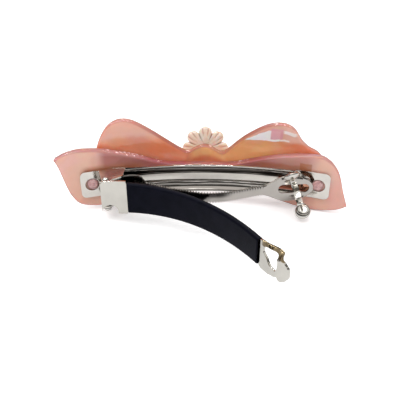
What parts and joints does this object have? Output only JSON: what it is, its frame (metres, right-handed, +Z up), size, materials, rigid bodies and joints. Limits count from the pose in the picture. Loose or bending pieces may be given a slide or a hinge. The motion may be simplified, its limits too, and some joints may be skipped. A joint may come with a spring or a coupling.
{
  "type": "hair barrette",
  "caption": "Ribbon-bow hair barrette: layered acetate bow with a moulded flower on a spring clip whose sleeved arm swings shut over a pinch catch.",
  "frame": {"origin": "the middle of the base plate's hair-side face, midway between the two mounting holes", "axes": "+X along the clip from hinge to catch, +Y out of the decorative front, +Z up as the barrette stands on its lower edge"},
  "size_m": [0.0931, 0.0655, 0.0291],
  "materials": {
    "acetate": "translucent pink cellulose acetate, polished, with mauve edges",
    "resin": "clear peach moulded resin",
    "melted_acetate": "dusty pink acetate, melted over and mottled",
    "nickel": "bright nickel-plated steel",
    "sleeve": "black smooth sleeve, soft sheen"
  },
  "bodies": {
    "bow_and_base": {"rear_ribbon": "acetate", "front_loops": "acetate", "flower": "resin", "stud_left": "melted_acetate", "stud_right": "melted_acetate", "base_plate": "nickel", "hinge_pin": "nickel", "catch_seat": "nickel", "catch_rivet": "nickel"},
    "arm": {"arm_core": "nickel", "arm_sleeve": "sleeve"},
    "bar_hinge_half": {"tension_bar_hinge_half": "nickel"},
    "bar_catch_half": {"tension_bar_catch_half": "nickel"},
    "jaw_upper": {"catch_jaw_upper": "nickel"},
    "jaw_lower": {"catch_jaw_lower": "nickel"}
  },
  "joints": [
    {"name": "arm_hinge", "type": "hinge", "parent": "bow_and_base", "child": "arm", "pos_m": [-0.031, -0.01174, 0], "axis": [0, 0, 1], "range_deg": [-8, 36]},
    {"name": "bar_lift", "type": "hinge", "parent": "bow_and_base", "child": "bar_hinge_half", "pos_m": [-0.031, -0.01174, 0], "axis": [0, 0, 1], "range_deg": [-6, 25]},
    {"name": "bar_bend", "type": "hinge", "parent": "bar_hinge_half", "child": "bar_catch_half", "pos_m": [0.001, -0.01434, 0], "axis": [0, 0, 1], "range_deg": [-46.5, 11]},
    {"name": "pinch_upper", "type": "hinge", "parent": "bow_and_base", "child": "jaw_upper", "pos_m": [0.029, -0.00484, 0], "axis": [0.9397, 0, 0.342], "range_deg": [0, 3.6]},
    {"name": "pinch_lower", "type": "hinge", "parent": "bow_and_base", "child": "jaw_lower", "pos_m": [0.029, -0.00484, 0], "axis": [0.9397, 0, 0.342], "range_deg": [-3.6, 0]}
  ],
  "couplings": [
    {"joint": "bar_lift", "follows": "arm_hinge", "ratio": 0.6667},
    {"joint": "bar_bend", "follows": "arm_hinge", "ratio": -1.27},
    {"joint": "pinch_lower", "follows": "pinch_upper", "ratio": -1}
  ]
}
